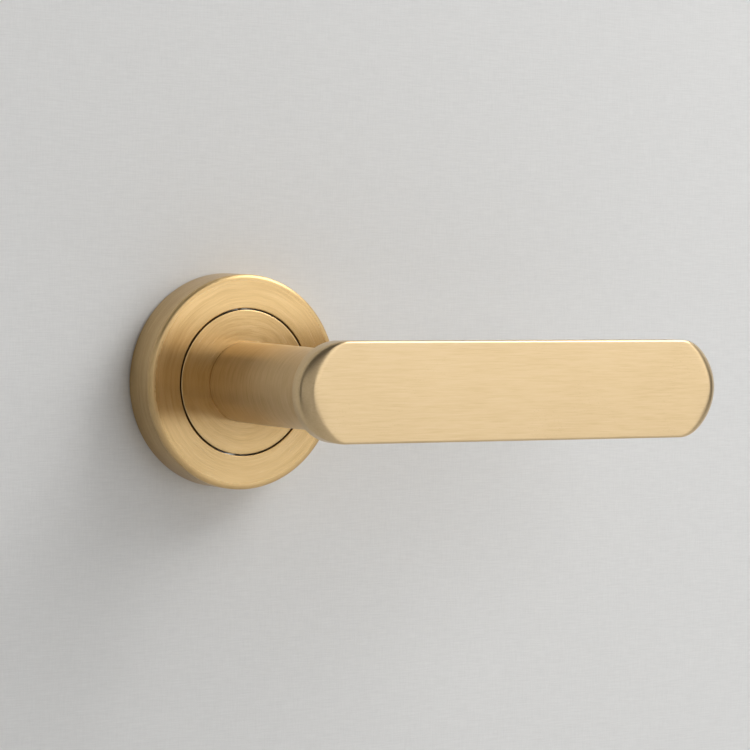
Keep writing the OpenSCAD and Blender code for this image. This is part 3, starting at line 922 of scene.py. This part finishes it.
def camera():
    """A long lens from the left of the handle, level with it."""
    data = bpy.data.cameras.new("camera")
    data.lens = CAMERA_LENS
    data.sensor_width = SENSOR_W
    data.clip_start = 0.01
    eye = bpy.data.objects.new("camera", data)
    eye.location = CAMERA_PLACE
    eye.rotation_mode = "QUATERNION"
    look = (CAMERA_AIM - CAMERA_PLACE).to_track_quat("-Z", "Y")
    eye.rotation_quaternion = look @ Quaternion((0, 0, 1), CAMERA_ROLL)
    bpy.context.scene.collection.objects.link(eye)
    bpy.context.scene.camera = eye


def floor_sheet(name, reach, height, material):
    """A level square floor."""
    bm = bmesh.new()
    bmesh.ops.create_grid(bm, x_segments=1, y_segments=1, size=reach,
                          matrix=Matrix.Translation((0, 0, height)))
    sheet = as_object(bm, name)
    sheet.data.materials.append(material)


def door_sheet(name, reach, hole, material):
    """A door's face, bored under the rose, so that light from behind reaches the back plate."""
    bm = bmesh.new()
    bmesh.ops.create_circle(bm, cap_ends=False, radius=hole, segments=96,
                            matrix=Matrix.Rotation(pi / 2, 4, "X"))
    grown = bmesh.ops.extrude_edge_only(bm, edges=bm.edges[:])["geom"]
    rim = [g for g in grown if isinstance(g, bmesh.types.BMVert)]
    bmesh.ops.scale(bm, verts=rim, vec=(reach / hole,) * 3)
    moved(bm, (0, WALL_BEHIND, 0))
    bmesh.ops.recalc_face_normals(bm, faces=bm.faces)
    if bm.faces[:][0].normal.y > 0:
        bmesh.ops.reverse_faces(bm, faces=bm.faces)
    sheet = as_object(bm, name)
    sheet.data.materials.append(material)


def stage_paint(name, colour, open_back):
    """Matt paint over fine linen. With open_back, the eye sees through it from behind."""
    material, n, sockets, place = new_material(name, 0.0, 0.85)
    across = n.group(GRAIN, Vector=place, Length=5 * MM, Width=0.30 * MM)["Lines"]
    x, y, z = n.separate(place)
    turned_place = n.combine(z, x, y)
    upright = n.group(GRAIN, Vector=turned_place, Length=4 * MM, Width=0.34 * MM)["Lines"]
    cloth = n.math("ADD", n.math("MULTIPLY", across, 0.6), n.math("MULTIPLY", upright, 0.4))
    thin = tuple(c * LINEN_SHADE for c in colour)
    n.plug(n.mix(n.spread(cloth, 0.15, 0.85), thin, colour), sockets["Base Color"])
    n.plug(n.bump(cloth, 0.03 * MM, 0.5), sockets["Normal"])
    if open_back:
        shader = next(x for x in material.node_tree.nodes if x.type == "BSDF_PRINCIPLED")
        output = next(x for x in material.node_tree.nodes if x.type == "OUTPUT_MATERIAL")
        clear = n.add("ShaderNodeBsdfTransparent")
        from_behind = n.math("MULTIPLY", n.add("ShaderNodeNewGeometry").outputs["Backfacing"],
                             n.add("ShaderNodeLightPath").outputs["Is Camera Ray"])
        either = n.add("ShaderNodeMixShader")
        n.plug(from_behind, either.inputs[0])
        n.plug(shader.outputs[0], either.inputs[1])
        n.plug(clear.outputs[0], either.inputs[2])
        n.plug(either.outputs[0], output.inputs[0])
    return material


def area_light(name, place, aim, width, height, power, reflected_only=False):
    """A white rectangle of light. With reflected_only, it lights no matt surface."""
    data = bpy.data.lights.new(name, "AREA")
    data.shape = "RECTANGLE"
    data.size = width
    data.size_y = height
    data.energy = power
    lamp = bpy.data.objects.new(name, data)
    lamp.location = place
    lamp.visible_diffuse = not reflected_only
    lamp.rotation_mode = "QUATERNION"
    lamp.rotation_quaternion = (Vector(aim) - Vector(place)).to_track_quat("-Z", "Y")
    bpy.context.scene.collection.objects.link(lamp)


camera()
door_sheet("backdrop", WALL_REACH, HOUSING_R - WALL_LAP,
           stage_paint("pale_paint", WALL_COLOUR, True))
floor_sheet("floor", FLOOR_REACH, FLOOR_HEIGHT, stage_paint("pale_floor", FLOOR_COLOUR, False))

# name, place, aim, width, height, power; the card is there for the grip's near end and the neck
area_light("softbox", (1.02, -1.62, 0.70), (0.02, 0, 0), 2.6, 2.1, 25.0)
area_light("side", (1.65, -0.70, 0.75), (0, 0, 0), 2.0, 1.2, 2.0)
area_light("graze", (0.80, -0.36, 0.92), (0.05, 0, 0.02), 0.9, 0.7, 11.0)
area_light("card", (-0.95, -1.05, 0.20), (0, -0.03, 0), 2.0, 1.2, 3.6, reflected_only=True)
area_light("rear", (0.6, 1.4, 0.7), (0, 0, 0), 1.8, 1.8, 22)
area_light("rear_low", (-1.1, 1.1, -0.1), (0, 0, 0), 1.4, 0.5, 8)

world = bpy.data.worlds.new("soft_room")
world.use_nodes = True
sky = Nodes(world.node_tree)
room = world.node_tree.nodes["Background"]
room.inputs["Color"].default_value = (1, 1, 1, 1)
seen = sky.add("ShaderNodeLightPath").outputs["Is Camera Ray"]
sky.plug(sky.spread(seen, 0.0, 1.0, ROOM_LIGHT, ROOM_SEEN), room.inputs["Strength"])
bpy.context.scene.world = world
bpy.context.scene.view_settings.view_transform = "Standard"
